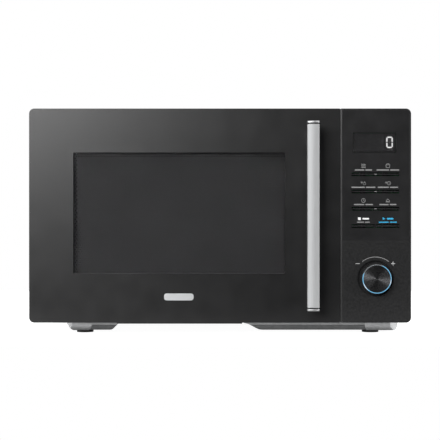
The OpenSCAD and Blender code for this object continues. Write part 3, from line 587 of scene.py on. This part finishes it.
def segments(x, z, width, height, thick, lit):
    """The bars of one seven-segment digit; lit holds the letters of those to draw."""
    gap, chamfer = thick * 0.16, thick / 2
    half, mid = height / 2, width / 2
    level = {"a": half - chamfer, "g": 0, "d": -half + chamfer}
    upright = {"f": (-mid + chamfer, 1), "b": (mid - chamfer, 1), "e": (-mid + chamfer, -1),
               "c": (mid - chamfer, -1)}
    shapes = []
    for letter in lit:
        if letter in level:
            v = z + level[letter]
            u0, u1 = x - mid + chamfer + gap, x + mid - chamfer - gap
            shapes.append([[(u0, v), (u0 + chamfer, v - chamfer), (u1 - chamfer, v - chamfer),
                            (u1, v), (u1 - chamfer, v + chamfer), (u0 + chamfer, v + chamfer)]])
        else:
            du, side = upright[letter]
            u = x + du
            v0, v1 = sorted((z + side * gap, z + side * (half - chamfer - gap)))
            shapes.append([[(u, v0), (u + chamfer, v0 + chamfer), (u + chamfer, v1 - chamfer),
                            (u, v1), (u - chamfer, v1 - chamfer), (u - chamfer, v0 + chamfer)]])
    return shapes


def make_digits():
    """Four digits and a colon behind the lens; only the last digit, a nought, is lit."""
    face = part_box("display_module")[0].y
    proud = 0.25 * MM
    z = (LENS_LO.z + LENS_HI.z) / 2 + 0.4 * MM
    size = (7.6 * MM, 13.2 * MM, 1.5 * MM)  # width, height and thickness of the bars
    *others, last = [LENS_HI.x - inset * MM for inset in (40.4, 30.5, 18.6, 7.9)]
    colon_x, dot_rise, dot_r = LENS_HI.x - 24.5 * MM, 2.6 * MM, 0.8 * MM
    dark = []
    for x in others:
        dark += segments(x, z, *size, "abcdefg")
    dark += segments(last, z, *size, "g")
    for rise in (-dot_rise, dot_rise):
        dark.append([arc(colon_x, z + rise, dot_r, 0, 345, 12)])
    lit = segments(last, z, *size, "abcdef")
    for name, shapes, mat in (("digits_off", dark, "digit_off"), ("digit_lit", lit, "digit_lit")):
        meshes = [plate_mesh(outlines, face - proud, face + INK) for outlines in shapes]
        to_scene(name, join(meshes), mat, "root")


# ---- The window's screen ----

def make_screen():
    """A steel sheet pierced by rows of six-sided holes, inside a plain border."""
    lo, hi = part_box("window_screen")
    pitch, hole_r, rim = 2.9 * MM, 0.88 * MM, 1.5 * MM
    corner_r, proud = 1 * MM, 0.05 * MM  # of the border
    left, right, low, high = lo.x + rim, hi.x - rim, lo.z + rim, hi.z - rim
    cell_r = pitch / math.sqrt(3)  # the six-sided cells fill the sheet, each round one hole
    row_step = pitch * math.sqrt(3) / 2
    columns = int((right - left) / pitch)
    rows = int((high - low) / row_step)
    verts, faces, shared = [], [], {}

    def corner(u, v):
        """The number of the front vertex there; the back one is the next."""
        key = (round(u * 1e6), round(v * 1e6))
        if key not in shared:
            shared[key] = len(verts)
            verts.append((u, lo.y, v))
            verts.append((u, hi.y, v))
        return shared[key]

    turns = [math.radians(60 * k + 30) for k in range(6)]
    open_edges = {}  # cell edges that no other cell has met yet, in order
    for j in range(rows):
        for i in range(columns):
            cx = left + pitch * (i + 0.5 + (0.5 if j % 2 else 0))
            cz = low + row_step * (j + 0.5)
            cell = [corner(cx + cell_r * math.cos(a), cz + cell_r * math.sin(a)) for a in turns]
            hole = [corner(cx + hole_r * math.cos(a), cz + hole_r * math.sin(a)) for a in turns]
            for k in range(6):
                m = (k + 1) % 6
                faces.append((cell[k], cell[m], hole[m], hole[k]))
                faces.append((cell[k] + 1, hole[k] + 1, hole[m] + 1, cell[m] + 1))
                faces.append((hole[k], hole[m], hole[m] + 1, hole[k] + 1))
                if (cell[m], cell[k]) in open_edges:
                    del open_edges[(cell[m], cell[k])]
                else:
                    open_edges[(cell[k], cell[m])] = True
    faces += [(a, a + 1, b + 1, b) for a, b in open_edges]
    mesh = bpy.data.meshes.new("screen")
    mesh.from_pydata(verts, [], faces)
    outside = rounded(lo.x, hi.x, lo.z, hi.z, corner_r)
    lap = pitch * 0.75  # how far the border reaches over the outermost holes
    inside = rounded(left + lap, right - lap + pitch / 2, low + lap, high - lap, corner_r)
    border = plate_mesh([outside, inside], lo.y - proud, hi.y)
    screen = to_scene("screen_mesh", join([mesh, border]), "screen_paint", "door",
                      smooth=20)
    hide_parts("window_screen")


# ---- The latch's spring ----

def make_spring():
    """The coil round the latch's stem."""
    lo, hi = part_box("latch_spring")
    centre = (lo + hi) / 2
    wire_r, travel = 0.35 * MM, 3 * MM
    turns, per_turn, sides = 7, 24, 10
    coil_r = (hi.x - lo.x) / 2 - wire_r
    steps = turns * per_turn
    verts, faces = [], []
    for i in range(steps + 1):
        a = math.tau * i / per_turn
        z = lo.z + wire_r + (hi.z - lo.z - 2 * wire_r) * i / steps
        for k in range(sides):
            b = math.tau * k / sides
            out = coil_r + wire_r * math.cos(b)
            verts.append((centre.x + out * math.cos(a), centre.y + out * math.sin(a),
                          z + wire_r * math.sin(b)))
    for i in range(steps):
        low, high = i * sides, (i + 1) * sides
        for k in range(sides):
            n = (k + 1) % sides
            faces.append((low + k, high + k, high + n, low + n))
    faces += [tuple(range(sides)), tuple(steps * sides + k for k in reversed(range(sides)))]
    mesh = bpy.data.meshes.new("spring")
    mesh.from_pydata(verts, [], faces)
    coil = to_scene("spring_coil", mesh, "spring_steel", "door", smooth=60)
    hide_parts("latch_spring")
    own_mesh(coil)


# ---- The dial ----

def radial_metal():
    """Turned metal: fine rings round the dial's axis, brushed round it."""
    tree, shader = nodes_of(MATERIALS["knob_metal"])
    add, link = tree.nodes.new, tree.links.new
    tangent = add("ShaderNodeTangent")
    tangent.direction_type = "RADIAL"
    tangent.axis = "Y"
    link(tangent.outputs[0], shader.inputs["Tangent"])
    coords = add("ShaderNodeTexCoord")
    centre = add("ShaderNodeMapping")
    centre.inputs["Location"].default_value = (-DIAL.x, 0, -DIAL.z)
    flat = add("ShaderNodeVectorMath")
    flat.operation = "MULTIPLY"
    flat.inputs[1].default_value = (1, 0, 1)
    length = add("ShaderNodeVectorMath")
    length.operation = "LENGTH"
    link(coords.outputs["Object"], centre.inputs["Vector"])
    link(centre.outputs[0], flat.inputs[0])
    link(flat.outputs[0], length.inputs[0])
    grooves = add("ShaderNodeTexNoise")
    grooves.noise_dimensions = "1D"
    grooves.inputs["Scale"].default_value = 4500
    link(length.outputs["Value"], grooves.inputs["W"])
    relief = add("ShaderNodeBump")
    relief.inputs["Strength"].default_value = 0.12
    relief.inputs["Distance"].default_value = 0.05 * MM
    link(grooves.outputs["Fac"], relief.inputs["Height"])
    link(relief.outputs[0], shader.inputs["Normal"])


def ring_glow():
    """The ring of light glows blue, but its glow is painted out at the upper left, the side the key
    light falls on, and two painted glints whiten it at two spots.
    """
    tree, shader = nodes_of(MATERIALS["blue_light"])
    add, link = tree.nodes.new, tree.links.new
    lit_way = (0.38, 0, -0.92)  # from the part of the ring whose glow is painted out towards the dial's middle
    glint_r = 16 * MM
    painted_glints = ((-14, 4.5 * MM), (215, 6 * MM))  # painted glints: degrees round the ring, and how far each one pales it
    coords = add("ShaderNodeTexCoord")
    centre = add("ShaderNodeVectorMath")
    centre.operation = "SUBTRACT"
    centre.inputs[1].default_value = (DIAL.x, DIAL.y, DIAL.z)
    link(coords.outputs["Object"], centre.inputs[0])
    along = add("ShaderNodeVectorMath")
    along.operation = "DOT_PRODUCT"
    along.inputs[1].default_value = lit_way
    link(centre.outputs[0], along.inputs[0])
    # the glow, painted out towards the upper left where the key light falls
    level = map_range(tree, along.outputs["Value"], source=(-12.4 * MM, -10.4 * MM),
                      result=(0.02, 0.9))
    link(level, shader.inputs["Emission Strength"])
    colour = None
    # each painted glint mixes the ring's colour towards near white
    for turn, reach in painted_glints:
        away = add("ShaderNodeVectorMath")
        away.operation = "DISTANCE"
        away.inputs[1].default_value = (glint_r * math.cos(math.radians(turn)), DIAL_LO.y - DIAL.y,
                                        glint_r * math.sin(math.radians(turn)))
        link(centre.outputs[0], away.inputs[0])
        mix = add("ShaderNodeMix")
        mix.data_type = "RGBA"  # its inputs 6 and 7 are the two colours, its output 2 the mixed one
        glint_paleness = map_range(tree, away.outputs["Value"], source=(0, reach), result=(0.9, 0))
        link(glint_paleness, mix.inputs["Factor"])
        if colour:
            link(colour, mix.inputs[6])
        else:
            mix.inputs[6].default_value = (*BLUE, 1)
        mix.inputs[7].default_value = (*GLINT_COLOUR, 1)
        colour = mix.outputs[2]
    link(colour, shader.inputs["Emission Color"])


# ---- Edges of the CAD solids ----

def soften(node, radius):
    """Rounds the edges of a CAD node's solid with modifiers, which leave its mesh as it is."""
    ob = frame["nodes"][node]
    weld = ob.modifiers.new("weld", "WELD")
    weld.merge_threshold = 0.003 * MM
    edge = ob.modifiers.new("edges", "BEVEL")
    edge.width = radius * MM
    edge.segments = 2
    edge.limit_method = "ANGLE"
    edge.angle_limit = math.radians(40)
    edge.harden_normals = True


# Radius of each node's edges, in mm
EDGES = {"door_fascia": 0.9, "control_housing": 0.35, "handle_bar": 0.5, "handle_caps": 0.6,
         "handle_core": 0.6, "outer_case": 0.3, "base_plate": 0.6, "feet": 0.5, "badge": 0.2,
         "knob_body": 0.4, "knob_cap": 0.25, "knob_light_ring": 0.25, "stop_key": 0.3,
         "start_key": 0.3, "rocker_key_1": 0.3, "rocker_key_2": 0.3, "rocker_key_3": 0.3,
         "rear_spacers": 0.5, "cord_gland": 0.6, "case_screws": 0.3, "turntable_tray": 0.6,
         "roller_ring": 0.4, "turntable_coupler": 0.5, "choke_cover": 0.3, "door_latch": 0.4}

make_camera()
make_world()
make_stage()
make_lights()
bpy.context.scene.view_settings.view_transform = "Standard"
paint_nodes()
radial_metal()
ring_glow()
print_keys()
print_dial()
make_digits()
make_screen()
make_spring()
for part, radius in EDGES.items():
    soften(part, radius)
